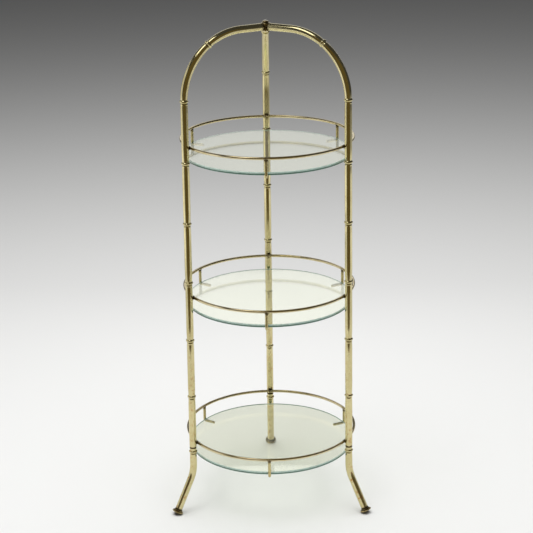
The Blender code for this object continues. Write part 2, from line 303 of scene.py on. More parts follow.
def spread(start, end, step):
    """Even stations from start to end, both included, about step apart."""
    count = max(1, round((end - start) / step))
    return [start + (end - start) * i / count for i in range(count + 1)]


def leg_stations(end, metal):
    """Distances along a leg of its rings of vertices: close at the nodes and in the bends."""
    fine = spread(0, 3.4 * metal.bead_half, 0.00035) + spread(4 * metal.bead_half, TAPER, 0.0025)
    stations = {round(node + side * away, 6) for node in NODES_AT for away in fine for side in (-1, 1)}
    stations |= {round(at, 6) for at in spread(LEG_START, end, 0.0040)}
    stations |= {round(at, 6) for at in spread(SPLAY_RUN, SPLAY_RUN + SPLAY_ARC, 0.0020)}
    stations |= {round(at, 6) for at in spread(LEG_START, LEG_START + 0.004, 0.0008)}
    kept = []
    for at in sorted(stations):
        if LEG_START - MERGE <= at <= end + MERGE and (not kept or at - kept[-1] > 0.0002):
            kept.append(at)
    return kept


def stand_axis(azimuth, height=0.0):
    """A place on the stand's axis with its X towards the azimuth in degrees."""
    return Matrix.Translation((0, AXIS_Y, height)) @ Matrix.Rotation(math.radians(azimuth), 4, "Z")


def ring_place(out, height, slope, radius):
    """Sets a unit circle square to a line that rises and leans towards the axis by slope."""
    return (Matrix.Translation((out, 0, height)) @ Matrix.Rotation(-slope, 4, "Y")
            @ Matrix.Diagonal((radius, radius, radius, 1)))


def new_bmesh():
    bm = bmesh.new()
    # A vertex layer of painted shade and soiling for creases and joints; a shelf keeps its rim position
    # in it instead
    return bm, bm.verts.layers.float.new("grime")


def sweep(bm, places, sides):
    """A closed bar through places, each of which sets a unit circle. Returns its rings of vertices."""
    ring = bmesh.ops.create_circle(bm, cap_ends=False, segments=sides, radius=1)["verts"]
    bmesh.ops.transform(bm, matrix=places[0], verts=ring)
    first = edges = list({edge for vert in ring for edge in vert.link_edges})
    rings = [ring]
    for before, after in zip(places, places[1:]):
        made = bmesh.ops.extrude_edge_only(bm, edges=edges)["geom"]
        ring = [item for item in made if isinstance(item, bmesh.types.BMVert)]
        fresh = set(ring)
        edges = [item for item in made if isinstance(item, bmesh.types.BMEdge)
                 and item.verts[0] in fresh and item.verts[1] in fresh]
        bmesh.ops.transform(bm, matrix=after @ before.inverted(), verts=ring)
        rings.append(ring)
    for rim in (first, edges):
        bmesh.ops.holes_fill(bm, edges=rim, sides=sides)
    return rings


def turn_profile(bm, profile, steps):
    """A solid turned about Z from (radius, height) points."""
    verts = [bm.verts.new((radius, 0, height)) for radius, height in profile]
    edges = [bm.edges.new(pair) for pair in zip(verts, verts[1:])]
    bmesh.ops.spin(bm, geom=verts + edges, cent=(0, 0, 0), axis=(0, 0, 1), angle=math.tau,
                   steps=steps, use_merge=True)


def arc(center, radius, start, end, steps):
    """Points on an arc in a profile's plane, angles in degrees."""
    angles = [math.radians(start + (end - start) * i / steps) for i in range(steps + 1)]
    return [(center[0] + radius * math.cos(a), center[1] + radius * math.sin(a)) for a in angles]


def close_up(bm):
    """Weld and turn every face outwards."""
    bmesh.ops.remove_doubles(bm, verts=bm.verts, dist=MERGE)
    bmesh.ops.recalc_face_normals(bm, faces=bm.faces)


def finish_piece(bm, name, material, body, nodes=()):
    """Make the mesh an object at the origin that rides its body and stands for its nodes."""
    mesh = bpy.data.meshes.new(name)
    bm.to_mesh(mesh)
    bm.free()
    mesh.shade_smooth()
    mesh.materials.append(material)
    obj = bpy.data.objects.new(name, mesh)
    bpy.context.scene.collection.objects.link(obj)
    if nodes:
        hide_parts(*nodes)
    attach(obj, body)
    return obj


def contact_point(side, tier):
    """Where a leg and a rail touch."""
    return stand_axis(LEG_AZIMUTHS[side], RAIL_HEIGHT[tier]) @ Vector((RAIL_RADIUS[tier] + ROD, 0, 0))


def add_grime_and_shade(bm, layer, points, width):
    """Darken the vertices near the points with painted shade and soiling."""
    for vert in bm.verts:
        near = min((vert.co - point).length for point in points)
        vert[layer] = min(1, vert[layer] + bump(near, 0, width))


def model_legs(metal, material):
    """Draw each shape of leg once, then stand a copy of it at each of its sides."""
    for sides in (SIDES[:2], SIDES[2:]):
        pattern, grime = new_bmesh()
        end = leg_end(sides[0])
        stations = leg_stations(end, metal)
        places = []
        for at in stations:
            out, height, slope = leg_point(at, sides[0])
            places.append(ring_place(out, height, slope, leg_radius(at, metal)))
        rings = sweep(pattern, places, metal.leg_sides)
        # Painted shade and soiling under each bead and at the leg's two ends
        for at, ring in zip(stations, rings):
            dirt_and_shade = leg_grime_and_shade(at, end, metal)
            for vert in ring:
                vert[grime] = dirt_and_shade
        bmesh.ops.recalc_face_normals(pattern, faces=pattern.faces)
        for side in sides:
            bm = pattern.copy()
            grime = bm.verts.layers.float["grime"]
            bmesh.ops.transform(bm, matrix=stand_axis(LEG_AZIMUTHS[side]), verts=bm.verts)
            # Painted shade and soiling where the rails meet the leg
            add_grime_and_shade(bm, grime, [contact_point(side, tier) for tier in TIERS], 0.0055)
            finish_piece(bm, "leg_tube_" + side, material, BODY, ["leg_" + side])
        pattern.free()


def model_foot(side, material):
    bm, grime = new_bmesh()
    inner = NECK_RADIUS - 0.0012
    fillet = 0.0007
    flange = FLANGE_RADIUS - 0.00002        # stays inside the frame's own, coarser flange
    profile = [
        (0, COLLAR_TOP + 0.0110),
        (inner - 0.0006, COLLAR_TOP + 0.0110),
        (inner, COLLAR_TOP + 0.0104),
        (inner, COLLAR_TOP),
        (COLLAR_RADIUS - 0.0005, COLLAR_TOP),
        *arc((COLLAR_RADIUS - 0.0005, COLLAR_TOP - 0.0005), 0.0005, 90, 0, 4),
        *arc((COLLAR_RADIUS + fillet, FLANGE_THICK + fillet), fillet, 180, 270, 5),
        *arc((flange - FLANGE_ROUND, FLANGE_ROUND), FLANGE_ROUND, 90, -90, 12),
        (flange - 2.2 * FLANGE_ROUND, 0),
        (flange - 2.6 * FLANGE_ROUND, 0.0003),
        (0, 0.0003),
    ]
    turn_profile(bm, profile, 64)
    close_up(bm)
    # Painted shade and soiling at the collar's top, in the corner over the flange and along the bottom
    # edge
    for vert in bm.verts:
        out, height = math.hypot(vert.co.x, vert.co.y), vert.co.z
        vert[grime] = min(1, bump(height, COLLAR_TOP, 0.0006)
                          + bump(math.hypot(out - COLLAR_RADIUS, height - FLANGE_THICK), 0, 0.0010)
                          + 0.8 * bump(height, 0, 0.0006))
    place = (stand_axis(LEG_AZIMUTHS[side]) @ Matrix.Translation((FOOT_CIRCLE, 0, FOOT_LIFT))
             @ Matrix.Rotation(-SPLAY_ANGLE, 4, "Y"))
    bmesh.ops.transform(bm, matrix=place, verts=bm.verts)
    finish_piece(bm, "foot_cap_" + side, material, BODY, ["foot_" + side])


def model_crown(material):
    """The hub where the three tubes meet, with a soft waist, and the domed screw on it."""
    half = box_size("crown_hub").z / 2
    middle = box_middle("crown_hub").z
    round_over = 0.0022
    flat = HUB_RADIUS - round_over
    profile = [
        (0, half - 0.0004),
        (0.0036, half - 0.0004),
        (0.0042, half),
        (flat - 0.0004, half),
        *arc((flat, half - round_over), round_over, 90, 0, 8),
        (HUB_RADIUS - 0.0004, half / 3),
        (HUB_RADIUS - 0.0005, 0),
        (HUB_RADIUS - 0.0004, -half / 3),
        *arc((flat, round_over - half), round_over, 0, -90, 8),
        (flat - 0.0004, -half),
        (0, -half),
    ]
    bm, grime = new_bmesh()
    turn_profile(bm, profile, 72)
    close_up(bm)
    # Painted shade and soiling: the boss a little darker all over, darkest round its waist where the
    # tubes meet
    for vert in bm.verts:
        vert[grime] = 0.35 + 0.4 * bump(abs(vert.co.z), 0, half / 2)
    bmesh.ops.translate(bm, vec=(0, AXIS_Y, middle), verts=bm.verts)
    finish_piece(bm, "crown_boss", material, BODY, ["crown_hub"])

    low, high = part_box("crown_finial")
    dome = (high.x - low.x) / 2
    seat = middle + half + GAP
    rise = high.z - seat
    rim = 0.0008
    steps = 14
    profile = [(dome * math.sin(math.pi / 2 * i / steps),
                rim + (rise - rim) * math.cos(math.pi / 2 * i / steps)) for i in range(steps + 1)]
    profile += [
        (dome, 0.0004),
        (dome - 0.0003, 0),
        (0.0020, 0),
        (0.0020, low.z - seat + 0.0003),
        (0.0017, low.z - seat),
        (0, low.z - seat),
    ]
    bm, grime = new_bmesh()
    turn_profile(bm, profile, 64)
    close_up(bm)
    # Painted shade and soiling in the seat under the dome
    for vert in bm.verts:
        vert[grime] = bump(vert.co.z, 0, 0.0011)
    bmesh.ops.translate(bm, vec=(0, AXIS_Y, seat), verts=bm.verts)
    finish_piece(bm, "crown_screw", material, BODY, ["crown_finial"])


def bracket_places(tier, side):
    """Where the braze of a bracket sits on its rail."""
    place = stand_axis(BRACKET_AZIMUTHS[tier][side], RAIL_HEIGHT[tier])
    return place @ Vector((RAIL_RADIUS[tier], 0, -ROD))


def model_rail(tier, metal, material):
    """A rod bent into a closed ring; the butt joint where its ends meet at the back is not modelled."""
    bm, grime = new_bmesh()
    section = bmesh.ops.create_circle(bm, cap_ends=False, segments=metal.rod_sides, radius=ROD)["verts"]
    bmesh.ops.transform(bm, matrix=ring_place(RAIL_RADIUS[tier], 0, 0, 1) @ Matrix.Rotation(
        math.pi / 2, 4, "X"), verts=section)
    geometry = section + list({edge for vert in section for edge in vert.link_edges})
    bmesh.ops.spin(bm, geom=geometry, cent=(0, 0, 0), axis=(0, 0, 1), angle=math.tau,
                   steps=metal.ring_steps, use_merge=True)
    close_up(bm)
    bmesh.ops.translate(bm, vec=(0, AXIS_Y, RAIL_HEIGHT[tier]), verts=bm.verts)
    # Painted shade and soiling where the legs and the brackets meet the rail
    add_grime_and_shade(bm, grime, [contact_point(side, tier) for side in SIDES], 0.0065)
    add_grime_and_shade(bm, grime, [bracket_places(tier, side) for side in BRACKET_SIDES], 0.0042)
    finish_piece(bm, "gallery_rail_" + tier, material, BODY, ["rail_" + tier])


def model_bracket(tier, side, metal, material):
    """A bent rod with a round tip, let a little into the rail above it."""
    bm, grime = new_bmesh()
    depth = RAIL_HEIGHT[tier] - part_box("shelf_" + tier)[0].z + GAP + ROD
    out = RAIL_RADIUS[tier]
    tip = out - BRACKET_REACH
    corner = (out - BRACKET_BEND, BRACKET_BEND - depth)
    places = [ring_place(out, height, 0, ROD)
              for height in spread(corner[1], -ROD / 2, 0.0012)[::-1]]
    places = [place @ Matrix.Rotation(math.pi, 4, "X") for place in places]
    for turn in spread(0, math.pi / 2, math.pi / 24)[1:]:
        middle = (corner[0] + BRACKET_BEND * math.cos(turn), corner[1] - BRACKET_BEND * math.sin(turn))
        places.append(ring_place(*middle, -turn, ROD) @ Matrix.Rotation(math.pi, 4, "X"))
    for reach in spread(corner[0], tip + ROD, 0.0015)[1:]:
        places.append(ring_place(reach, -depth, -math.pi / 2, ROD) @ Matrix.Rotation(math.pi, 4, "X"))
    for turn in spread(0, math.pi / 2, math.pi / 16)[1:-1]:
        places.append(ring_place(tip + ROD * (1 - math.sin(turn)), -depth, -math.pi / 2,
                                 ROD * math.cos(turn)) @ Matrix.Rotation(math.pi, 4, "X"))
    sweep(bm, places, metal.rod_sides)
    bmesh.ops.recalc_face_normals(bm, faces=bm.faces)
    bmesh.ops.transform(bm, matrix=stand_axis(BRACKET_AZIMUTHS[tier][side], RAIL_HEIGHT[tier]),
                        verts=bm.verts)
    # Painted shade and soiling at the rail joint and in the inside corner of the bend
    add_grime_and_shade(bm, grime, [bracket_places(tier, side)], 0.0040)
    tip_point = (stand_axis(BRACKET_AZIMUTHS[tier][side], RAIL_HEIGHT[tier])
                 @ Vector((out - ROD, 0, -depth + ROD)))
    add_grime_and_shade(bm, grime, [tip_point], 0.0030)
    finish_piece(bm, "prong_rod_" + tier + "_" + side, material, BODY,
                 ["bracket_" + tier + "_" + side])


def model_braze(tier, metal, material):
    """Lumps of braze in the corners between a rail, its legs and its brackets."""
    bm, _ = new_bmesh()
    size = metal.braze_size
    shrink = 0.00012
    across = Matrix.Rotation(math.pi / 2, 4, "X")

    def rod(matrix, radius, length):
        made = bmesh.ops.create_cone(bm, cap_ends=True, segments=28, radius1=radius, radius2=radius,
                                     depth=length)["verts"]
        bmesh.ops.transform(bm, matrix=matrix, verts=made)

    def lump(matrix, radii):
        made = bmesh.ops.create_uvsphere(bm, u_segments=20, v_segments=12, radius=1)["verts"]
        bmesh.ops.transform(bm, matrix=matrix @ Matrix.Diagonal((*radii, 1)), verts=made)

    for side in SIDES:
        place = stand_axis(LEG_AZIMUTHS[side], RAIL_HEIGHT[tier])
        at = LEG_START
        while leg_point(at, side)[1] < RAIL_HEIGHT[tier]:
            at += 0.0005
        upright = (Matrix.Translation((leg_point(at, side)[0], 0, 0))
                   @ Matrix.Rotation(-LEG_LEAN, 4, "Y"))
        rod(place @ upright, leg_radius(at, metal) - shrink, 5 * size)
        rod(place @ Matrix.Translation((RAIL_RADIUS[tier], 0, 0)) @ across, ROD - shrink, 5 * size)
        lump(place @ Matrix.Translation((RAIL_RADIUS[tier] + ROD * 0.9, 0, 0)),
             (size * 0.75, size * 1.05, size * 0.95))
    for side in BRACKET_SIDES:
        place = stand_axis(BRACKET_AZIMUTHS[tier][side], RAIL_HEIGHT[tier])
        rod(place @ Matrix.Translation((RAIL_RADIUS[tier], 0, 0)) @ across, ROD - shrink, 4 * size)
        rod(place @ Matrix.Translation((RAIL_RADIUS[tier], 0, -2 * size)), ROD - shrink, 4 * size)
        lump(place @ Matrix.Translation((RAIL_RADIUS[tier], 0, -ROD)),
             (size * 0.66, size, size * 0.6))
    braze = finish_piece(bm, "braze_" + tier, material, BODY)
    weld = braze.modifiers.new("Weld together", "REMESH")
    weld.mode = "VOXEL"
    weld.voxel_size = 0.00042
    weld.use_smooth_shade = True
    flow = braze.modifiers.new("Flow", "SMOOTH")
    flow.factor = 0.5
    flow.iterations = 7


def model_shelf(tier, metal, material, rim_material):
    """A round of float glass with a ground, softly arrised rim."""
    bm, rim = new_bmesh()       # on a shelf the layer holds how far down its rim a vertex lies
    low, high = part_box("shelf_" + tier)
    radius = (high.x - low.x) / 2
    half = (high.z - low.z) / 2
    arris = 0.0005
    ease = 0.0004
    edge = radius - arris
    profile = [(0, half)] + [(edge * share, half) for share in (0.4, 0.8)] + [
        (edge - ease, half),
        *arc((edge, half - arris), arris, 90, 0, 4),
        (radius, half - arris - ease),
        (radius, arris + ease - half),
        *arc((edge, arris - half), arris, 0, -90, 4),
        (edge - ease, -half)] + [(edge * share, -half) for share in (0.8, 0.4)] + [(0, -half)]
    turn_profile(bm, profile, metal.ring_steps)
    close_up(bm)
    for vert in bm.verts:
        vert[rim] = (half - vert.co.z) / (2 * half)
    for face in bm.faces:
        middle = face.calc_center_median()
        face.material_index = int(math.hypot(middle.x, middle.y) > edge)
    bmesh.ops.translate(bm, vec=(0, AXIS_Y, (low.z + high.z) / 2), verts=bm.verts)
    shelf = finish_piece(bm, "glass_round_" + tier, material, tier + "_shelf_glass",
                         ["shelf_" + tier])
    shelf.data.materials.append(rim_material)


# ---------------------------------------------------------------- finishes

class Nodes:
    """Adds nodes to a tree and joins them, left to right."""

    def __init__(self, tree):
        self.tree = tree

    def add(self, kind, values=None, **settings):
        node = self.tree.nodes.new(kind)
        for key, value in settings.items():
            setattr(node, key, value)
        for key, value in (values or {}).items():
            self.put(value, node.inputs[key])
        return node

    def put(self, value, socket):
        if isinstance(value, bpy.types.NodeSocket):
            self.tree.links.new(value, socket)
        else:
            socket.default_value = value

    def math(self, operation, *values, clamp=False):
        node = self.add("ShaderNodeMath", operation=operation, use_clamp=clamp)
        for value, socket in zip(values, node.inputs):
            self.put(value, socket)
        return node.outputs[0]

    def mix(self, factor, first, second):
        node = self.add("ShaderNodeMix", data_type="RGBA")
        for value, index in ((factor, 0), (first, 6), (second, 7)):
            self.put(value, node.inputs[index])
        return node.outputs[2]

    def fit(self, value, low, high, new_low=0.0, new_high=1.0):
        node = self.add("ShaderNodeMapRange", {"Value": value, "From Min": low, "From Max": high,
                                               "To Min": new_low, "To Max": new_high})
        return node.outputs[0]

    def noise(self, vector, scale, detail=4.0, roughness=0.55):
        node = self.add("ShaderNodeTexNoise", {"Vector": vector, "Scale": scale, "Detail": detail,
                                               "Roughness": roughness})
        return node.outputs[0]

    def stretch(self, vector, scale):
        return self.add("ShaderNodeMapping", {"Vector": vector, "Scale": scale}).outputs[0]


def new_group(name, inputs, outputs):
    """A shader node group with its sockets. Returns the tree, its helper, inputs and output node."""
    tree = bpy.data.node_groups.new(name, "ShaderNodeTree")
    for label, kind, value in inputs:
        socket = tree.interface.new_socket(name=label, in_out="INPUT", socket_type="NodeSocket" + kind)
        socket.default_value = value
    for label, kind in outputs:
        tree.interface.new_socket(name=label, in_out="OUTPUT", socket_type="NodeSocket" + kind)
    nodes = Nodes(tree)
    return tree, nodes, nodes.add("NodeGroupInput").outputs, nodes.add("NodeGroupOutput")


def patina_group():
    """Bloom, stains, soiling and painted shade on old brass: its colour and roughness."""
    tree, nodes, given, out = new_group("patina", [
        ("Metal", "Color", (0.8, 0.64, 0.3, 1)),
        ("Tarnish", "Color", (0.5, 0.38, 0.14, 1)),
        ("Stain", "Color", (0.46, 0.22, 0.06, 1)),
        ("Grime", "Color", (0.05, 0.03, 0.01, 1)),
        ("Dirt", "Float", 0.0),
        ("Bloom", "Float", 0.5),
        ("Spots", "Float", 0.5),
        ("Polish", "Float", 0.16),
    ], [("Color", "Color"), ("Roughness", "Float")])
    place = nodes.add("ShaderNodeTexCoord").outputs["Object"]
    clouds = nodes.fit(nodes.noise(place, 24.0, 5.0, 0.6), 0.38, 0.66)
    streaks = nodes.fit(nodes.noise(nodes.stretch(place, (1, 1, 0.12)), 420.0, 3.0, 0.5), 0.35, 0.70)
    mottle = nodes.fit(nodes.noise(place, 260.0, 4.0, 0.65), 0.35, 0.72)
    bloom = nodes.math("MULTIPLY", nodes.math("ADD", nodes.math("MULTIPLY", clouds, 0.65),
                                              nodes.math("MULTIPLY", mottle, 0.45)), given["Bloom"],
                       clamp=True)
    color = nodes.mix(bloom, given["Metal"], given["Tarnish"])
    color = nodes.mix(nodes.math("MULTIPLY", streaks, 0.08), color, given["Tarnish"])
    low = nodes.fit(nodes.add("ShaderNodeSeparateXYZ", {0: place}).outputs[2], 0.34, 0.06)
    spots = nodes.fit(nodes.noise(place, 150.0, 5.0, 0.7), 0.56, 0.66)
    spots = nodes.math("MULTIPLY", nodes.math("MULTIPLY", spots, nodes.math("ADD", low, 0.18)),
                       given["Spots"], clamp=True)
    color = nodes.mix(spots, color, given["Stain"])
    # Painted shade and soiling from the vertex layer, frayed by fine noise, darken the colour towards
    # near black
    ragged = nodes.math("ADD", given["Dirt"], nodes.math(
        "MULTIPLY", nodes.math("SUBTRACT", nodes.noise(place, 900.0, 3.0, 0.6), 0.5), 0.7))
    dirt_and_shade = nodes.fit(ragged, 0.18, 0.85)
    color = nodes.mix(dirt_and_shade, color, given["Grime"])
    rough = nodes.math("ADD", given["Polish"], nodes.math("MULTIPLY", bloom, 0.10))
    rough = nodes.math("ADD", rough, nodes.math("MULTIPLY", mottle, 0.05))
    rough = nodes.math("ADD", rough, nodes.math("MULTIPLY", spots, 0.12))
    rough = nodes.math("ADD", rough, nodes.math("MULTIPLY", dirt_and_shade, 0.30), clamp=True)
    nodes.put(color, out.inputs["Color"])
    nodes.put(rough, out.inputs["Roughness"])
    return tree


def fine_wear_group():
    """Rubbing marks and the slight hand-drawn waviness of old metal: a height."""
    tree, nodes, given, out = new_group("fine_wear", [
        ("Scratch", "Float", 0.3), ("Wave", "Float", 1.0)], [("Height", "Float")])
    place = nodes.add("ShaderNodeTexCoord").outputs["Object"]
    around = nodes.fit(nodes.noise(nodes.stretch(place, (1, 1, 9)), 420.0, 2.0, 0.5), 0.60, 0.72)
    along = nodes.fit(nodes.noise(nodes.stretch(place, (1, 1, 0.08)), 700.0, 2.0, 0.5), 0.60, 0.74)
    scratch = nodes.math("MULTIPLY", nodes.math("ADD", around, along), given["Scratch"])
    wave = nodes.math("MULTIPLY", nodes.noise(place, 70.0, 2.0, 0.4), given["Wave"])
    nodes.put(nodes.math("ADD", scratch, wave), out.inputs["Height"])
    return tree


def dust_group():
    """A thin settled dust on faces that look up: a mask."""
    tree, nodes, given, out = new_group("settled_dust", [("Amount", "Float", 0.1)], [("Mask", "Float")])
    place = nodes.add("ShaderNodeTexCoord").outputs["Object"]
    up = nodes.fit(nodes.add("ShaderNodeSeparateXYZ", {0: nodes.add("ShaderNodeNewGeometry")
                                                       .outputs["Normal"]}).outputs[2], 0.35, 0.95)
    specks = nodes.fit(nodes.noise(place, 520.0, 5.0, 0.7), 0.42, 0.70)
    nodes.put(nodes.math("MULTIPLY", nodes.math("MULTIPLY", up, specks), given["Amount"], clamp=True),
              out.inputs["Mask"])
    return tree


def shared_group(name, build):
    return bpy.data.node_groups.get(name) or build()


def opaque(color):
    return (*color, 1)


def new_material(name):
    material = bpy.data.materials.new(name)
    material.use_nodes = True
    shader = material.node_tree.nodes["Principled BSDF"]
    return material, Nodes(material.node_tree), shader


def group_node(nodes, tree, values):
    return nodes.add("ShaderNodeGroup", values, node_tree=tree)


DUST_COLOR = (0.46, 0.43, 0.34, 1)
WEAR_DEPTH = 0.000012       # of rubbing marks and waviness


def brass_material(name, metal_color, finish, bloom, spots, polish, dust=0.10):
    """Old polished brass with soiling and painted shade in the creases and joints."""
    material, nodes, shader = new_material(name)
    # Painted shade and soiling in the creases and joints, from the vertex layer
    dirt_and_shade = nodes.add("ShaderNodeAttribute", attribute_name="grime").outputs["Fac"]
    patina = group_node(nodes, shared_group("patina", patina_group), {
        "Metal": opaque(metal_color), "Tarnish": opaque(finish.tarnish), "Stain": opaque(finish.stain),
        "Grime": opaque(finish.grime), "Dirt": dirt_and_shade, "Bloom": bloom, "Spots": spots, "Polish": polish})
    settled = group_node(nodes, shared_group("settled_dust", dust_group),
                         {"Amount": dust}).outputs["Mask"]
    color = nodes.mix(settled, patina.outputs["Color"], DUST_COLOR)
    rough = nodes.math("ADD", patina.outputs["Roughness"],
                       nodes.math("MULTIPLY", settled, 0.5), clamp=True)
    height = group_node(nodes, shared_group("fine_wear", fine_wear_group),
                        {"Scratch": 0.10, "Wave": 0.6}).outputs["Height"]
    relief = nodes.add("ShaderNodeBump", {"Height": height, "Strength": 0.35, "Distance": WEAR_DEPTH})
    nodes.put(color, shader.inputs["Base Color"])
    nodes.put(rough, shader.inputs["Roughness"])
    nodes.put(relief.outputs[0], shader.inputs["Normal"])
    shader.inputs["Metallic"].default_value = 1.0
    return material


def braze_material(finish):
    """Near-black, scaled braze: dark flux scale with painted shade in the joints."""
    material, nodes, shader = new_material("braze_scale")
    place = nodes.add("ShaderNodeTexCoord").outputs["Object"]
    lumps = nodes.noise(place, 700.0, 4.0, 0.6)
    # Near black for flux scale and painted shade in the joint, with browner lumps
    color = nodes.mix(nodes.fit(lumps, 0.52, 0.72), opaque(finish.grime), (0.30, 0.21, 0.09, 1))
    nodes.put(color, shader.inputs["Base Color"])
    nodes.put(nodes.fit(lumps, 0.3, 0.7, 0.55, 0.34), shader.inputs["Roughness"])
    relief = nodes.add("ShaderNodeBump", {"Height": lumps, "Strength": 0.7, "Distance": 0.0004})
    nodes.put(relief.outputs[0], shader.inputs["Normal"])
    shader.inputs["Metallic"].default_value = 1.0
    return material


def glass_material(finish):
    """Clear float glass that lets lamps through."""
    material, nodes, shader = new_material("float_glass")
    place = nodes.add("ShaderNodeTexCoord").outputs["Object"]
    smear = nodes.fit(nodes.noise(nodes.stretch(place, (1.0, 2.2, 1.0)), 16.0, 5.0, 0.6), 0.45, 0.80)
    nodes.put(nodes.math("ADD", nodes.math("MULTIPLY", smear, 0.04), 0.015), shader.inputs["Roughness"])
    shader.inputs["Base Color"].default_value = opaque(finish.glass)
    shader.inputs["Metallic"].default_value = 0.0
    shader.inputs["Transmission Weight"].default_value = 0.96
    shader.inputs["IOR"].default_value = 1.51
    through = nodes.add("ShaderNodeBsdfTransparent", {"Color": (0.95, 0.96, 0.945, 1)})
    lamp = nodes.add("ShaderNodeLightPath").outputs["Is Shadow Ray"]
    blend = nodes.add("ShaderNodeMixShader", {0: lamp, 1: shader.outputs[0], 2: through.outputs[0]})
    output = nodes.tree.nodes["Material Output"]
    nodes.put(blend.outputs[0], output.inputs["Surface"])
    return material


def glass_rim_material(finish):
    """The ground rim: a pale arris on top and the deep green of the glass seen edge on."""
    material, nodes, shader = new_material("float_glass_rim")
    down = nodes.add("ShaderNodeAttribute", attribute_name="grime").outputs["Fac"]
    place = nodes.add("ShaderNodeTexCoord").outputs["Object"]
    ground = nodes.fit(nodes.noise(place, 320.0, 4.0, 0.6), 0.35, 0.65, 0.85, 1.1)
    color = nodes.mix(nodes.fit(down, 0.38, 0.62), opaque(finish.glass_arris), opaque(finish.glass_rim))
    color = nodes.mix(nodes.fit(down, 0.88, 1.0), color, opaque(finish.glass_arris))
    level = nodes.add("ShaderNodeVectorMath", {0: color, 1: ground}, operation="MULTIPLY").outputs[0]
    nodes.put(level, shader.inputs["Base Color"])
    nodes.put(nodes.fit(ground, 0.85, 1.1, 0.20, 0.34), shader.inputs["Roughness"])
    return material


def floor_material(color):
    """Plain pale matt floor."""
    material, _, shader = new_material("pale_floor")
    shader.inputs["Base Color"].default_value = opaque(color)
    shader.inputs["Roughness"].default_value = 0.9
    shader.inputs["Specular IOR Level"].default_value = 0.0
    return material


# ---------------------------------------------------------------- stage

def link_stage(name, data):
    obj = bpy.data.objects.new(name, data)
    bpy.context.scene.collection.objects.link(obj)
    return obj


def soft_light(name, place, facing, width, height, brightness):
    """A rectangular light that faces along facing, as bright everywhere as its brightness says."""
    data = bpy.data.lights.new(name, "AREA")
    data.shape = "RECTANGLE"
    data.size = width
    data.size_y = height
    data.energy = brightness * math.pi * width * height
    light = link_stage(name, data)
    turn = Vector(facing).to_track_quat("-Z", "Y").to_matrix().to_4x4()
    light.matrix_world = Matrix.Translation(place) @ turn
    light.visible_camera = False
    return light


def plane_mesh(name, corner, span_x, span_y, material):
    """A flat sheet of faces from its corner."""
    bm = bmesh.new()
    bmesh.ops.create_grid(bm, x_segments=8, y_segments=8, size=0.5)
    bmesh.ops.transform(bm, matrix=Matrix.Translation(corner) @ Matrix((
        (span_x[0], span_y[0], 0, (span_x[0] + span_y[0]) / 2),
        (span_x[1], span_y[1], 0, (span_x[1] + span_y[1]) / 2),
        (span_x[2], span_y[2], 1, (span_x[2] + span_y[2]) / 2),
        (0, 0, 0, 1))), verts=bm.verts)
    mesh = bpy.data.meshes.new(name)
    bm.to_mesh(mesh)
    bm.free()
    mesh.materials.append(material)
    return link_stage(name, mesh)


def reflection_card_material(color):
    """A card that glows an even dim brown; only reflections see it, so it paints a dark brown
    reflection into the brass.
    """
    material, _, shader = new_material("dark_card")
    shader.inputs["Base Color"].default_value = (0, 0, 0, 1)
    shader.inputs["Specular IOR Level"].default_value = 0.0
    shader.inputs["Emission Color"].default_value = opaque(color)
    shader.inputs["Emission Strength"].default_value = 1.0
    return material


FLOOR_REACH = 20.0
CARD_CORNER = (-0.80, -0.85, 0)
CARD_WIDTH = 2.0
CARD_HEIGHT = 1.6
CAMERA_PLACE = (0.02954, -2.52952, 1.26513)
CAMERA_PAN = 0.0134
CAMERA_TILT = math.pi / 2 - 0.3288
CAMERA_ROLL = -0.0145
LAMPS = {               # where it stands, which way it faces, width, height
    "left_light": ((-1.30, 0.20, 0.75), (1, 0, 0), 1.9, 1.4),
    "right_light": ((1.30, 0.75, 0.15), (-1, 0, 0), 3.0, 0.26),
    "back_light": ((0.0, 1.05, 1.23), (0, -1, 0), 1.3, 0.80),
    "back_light_low": ((0.0, 1.05, 0.755), (0, -1, 0), 1.3, 0.15),
    "over_light": ((0.0, -0.1, 2.6), (0, 0, -1), 3.0, 3.0),
    "high_light": ((-0.6, -0.5, 2.2), (0.6, 0.5, -1.4), 0.9, 0.9),
}


def build_stage(stage):
    plane_mesh("floor", (-FLOOR_REACH, -FLOOR_REACH, 0), (2 * FLOOR_REACH, 0, 0),
               (0, 2 * FLOOR_REACH, 0), floor_material(stage.floor))
    lamps = {name: soft_light(name, *lamp, getattr(stage, name)) for name, lamp in LAMPS.items()}
    # The side lamps shape the brass, and leave no edge on the floor
    lamps["left_light"].visible_diffuse = False
    lamps["right_light"].visible_diffuse = False
    # The glass already lets this lamp through to what it shades, so nothing sees it a second time
    lamps["over_light"].visible_glossy = False
    lamps["over_light"].visible_transmission = False

    # A glowing card that only reflections see: it paints the dark reflection down the middle of the
    # legs and along the rails
    card = plane_mesh("dark_card", CARD_CORNER, (CARD_WIDTH, 0, 0), (0, 0, CARD_HEIGHT),
                      reflection_card_material(stage.card))
    card.visible_camera = False
    card.visible_diffuse = False
    card.visible_transmission = False
    card.visible_shadow = False

    world = bpy.data.worlds.new("dark_room")
    world.use_nodes = True
    backdrop = world.node_tree.nodes["Background"]
    backdrop.inputs[0].default_value = (1, 1, 1, 1)
    backdrop.inputs[1].default_value = stage.surround
    bpy.context.scene.world = world

    data = bpy.data.cameras.new("camera")
    data.sensor_width = 36.0
    data.lens = stage.lens
    camera = link_stage("camera", data)
    camera.matrix_world = (Matrix.Translation(CAMERA_PLACE)
                           @ Matrix.Rotation(CAMERA_PAN, 4, "Z")
                           @ Matrix.Rotation(CAMERA_TILT, 4, "X")
                           @ Matrix.Rotation(CAMERA_ROLL, 4, "Z"))
    bpy.context.scene.camera = camera
    bpy.context.scene.view_settings.view_transform = "Standard"


# ---------------------------------------------------------------- operators, panel and main

